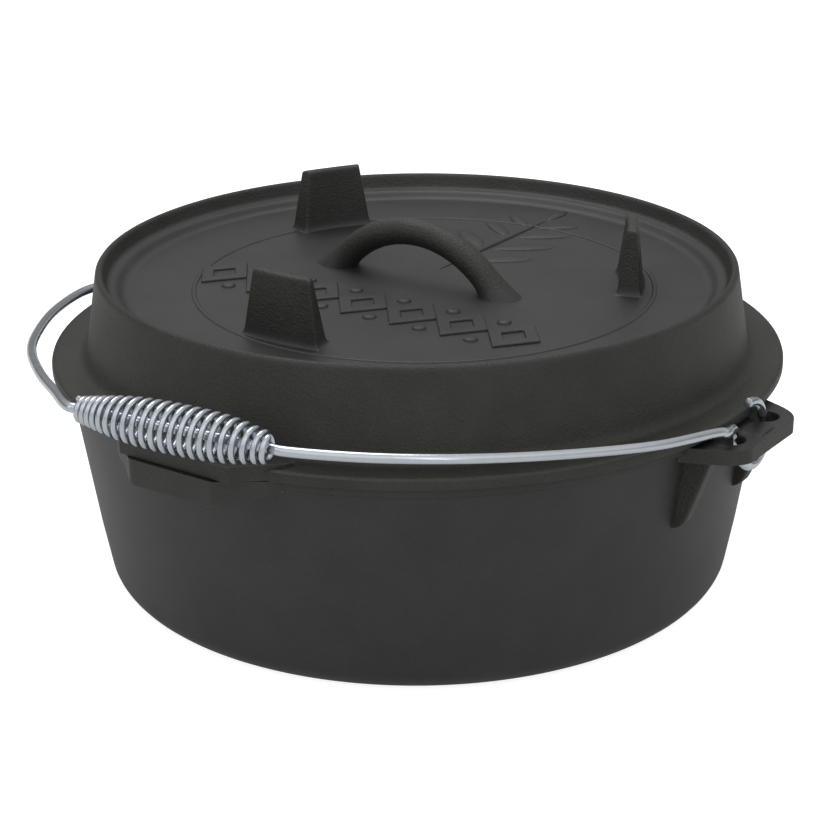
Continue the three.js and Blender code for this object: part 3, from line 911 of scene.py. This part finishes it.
# %% Studio
nothing_selected()
bpy.ops.mesh.primitive_circle_add(vertices=64, radius=6, fill_type="NGON")
floor = bpy.context.object
floor.name = "floor"
paper = bpy.data.materials.new("white_paper")
paper.use_nodes = True
sheet = paper.node_tree.nodes["Principled BSDF"]
sheet.inputs["Base Color"].default_value = (0.55, 0.55, 0.55, 1)
sheet.inputs["Roughness"].default_value = 0.9
sheet.inputs["Specular IOR Level"].default_value = 0.0
sheet.inputs["Emission Color"].default_value = (1, 1, 1, 1)
glow = lay(paper.node_tree, "ShaderNodeMapRange", **{"To Min": 0.2, "To Max": 0.85})
seen = lay(paper.node_tree, "ShaderNodeLightPath")
paper.node_tree.links.new(seen.outputs["Is Camera Ray"], glow.inputs["Value"])
paper.node_tree.links.new(glow.outputs["Result"], sheet.inputs["Emission Strength"])
floor.data.materials.append(paper)

SIDE_LIGHT, FRONT_LIGHT, TOP_LIGHT = 0.25, 0.74, 0.42
FRONT = (0.574, -0.819, 0)             # level direction towards the camera's side
room = bpy.data.worlds.new("room")
room.use_nodes = True
tree = room.node_tree
walls = tree.nodes["Background"]
walls.inputs["Color"].default_value = (1, 1, 1, 1)
where = lay(tree, "ShaderNodeTexCoord")
facing = lay(tree, "ShaderNodeVectorMath", operation="DOT_PRODUCT")
facing.inputs[1].default_value = FRONT
front = lay(tree, "ShaderNodeMapRange", **{
    "From Min": -0.2, "From Max": 0.95, "To Min": SIDE_LIGHT, "To Max": FRONT_LIGHT})
split = lay(tree, "ShaderNodeSeparateXYZ")
ceiling = lay(tree, "ShaderNodeMapRange", **{
    "From Min": 0.15, "From Max": 0.7, "To Min": 0.0, "To Max": TOP_LIGHT})
both = lay(tree, "ShaderNodeMath", operation="ADD")
path = lay(tree, "ShaderNodeLightPath")
backdrop = lay(tree, "ShaderNodeMix", data_type="FLOAT")
backdrop.inputs[3].default_value = 1.0
for start, end in ((where.outputs["Generated"], facing.inputs[0]),
                   (facing.outputs["Value"], front.inputs["Value"]),
                   (where.outputs["Generated"], split.inputs[0]),
                   (split.outputs["Z"], ceiling.inputs["Value"]),
                   (front.outputs["Result"], both.inputs[0]),
                   (ceiling.outputs["Result"], both.inputs[1]),
                   (path.outputs["Is Camera Ray"], backdrop.inputs["Factor"]),
                   (both.outputs[0], backdrop.inputs[2]),
                   (backdrop.outputs[0], walls.inputs["Strength"])):
    tree.links.new(start, end)
bpy.context.scene.world = room


def panel(name, place, aim, width, height, power):
    """A soft rectangular light that faces a point."""
    bpy.ops.object.light_add(type="AREA", location=place)
    light = bpy.context.object
    light.name = name
    light.data.shape = "RECTANGLE"
    light.data.size, light.data.size_y = width, height
    light.data.energy = power
    direction = Vector(aim) - Vector(place)
    light.rotation_euler = direction.to_track_quat("-Z", "Y").to_euler()
    return light


panel("overhead", (-0.5, 0.35, 1.6), (0, 0, 0.1), 1.0, 1.0, 9.5)
panel("left_strip", (-0.75, -1.35, 0.8), (0, 0, 0.08), 0.16, 1.1, 0.95)
panel("right_strip", (1.25, -0.75, 0.8), (0, 0, 0.08), 0.12, 1.1, 0.6)
bpy.context.scene.view_settings.view_transform = "Standard"

# %% [markdown]
# The camera stands 35 degrees round to the right and 22 degrees up, with a long lens, and
# is rolled by less than half a degree.

# %% Camera
VIEW_ROUND, VIEW_UP, VIEW_ROLL = math.radians(35), math.radians(21.63), math.radians(0.4446)
VIEW_AWAY, LENS = 0.990, 92.73         # metres from the target, and millimetres
ASIDE, AIM_Z = -1.36, 67.16            # target: mm to the right of the axis, and its height
target = Vector((ASIDE * math.cos(VIEW_ROUND), ASIDE * math.sin(VIEW_ROUND), AIM_Z)) * MM
back = Vector((math.sin(VIEW_ROUND) * math.cos(VIEW_UP),
               -math.cos(VIEW_ROUND) * math.cos(VIEW_UP), math.sin(VIEW_UP)))
bpy.ops.object.camera_add(location=target + back * VIEW_AWAY)
camera = bpy.context.object
camera.rotation_mode = "QUATERNION"
camera.rotation_quaternion = ((-back).to_track_quat("-Z", "Y")
                              @ Quaternion((0, 0, 1), -VIEW_ROLL))
camera.data.lens = LENS
camera.data.sensor_width = 36
bpy.context.scene.camera = camera
print("camera at", [round(c, 3) for c in camera.location])
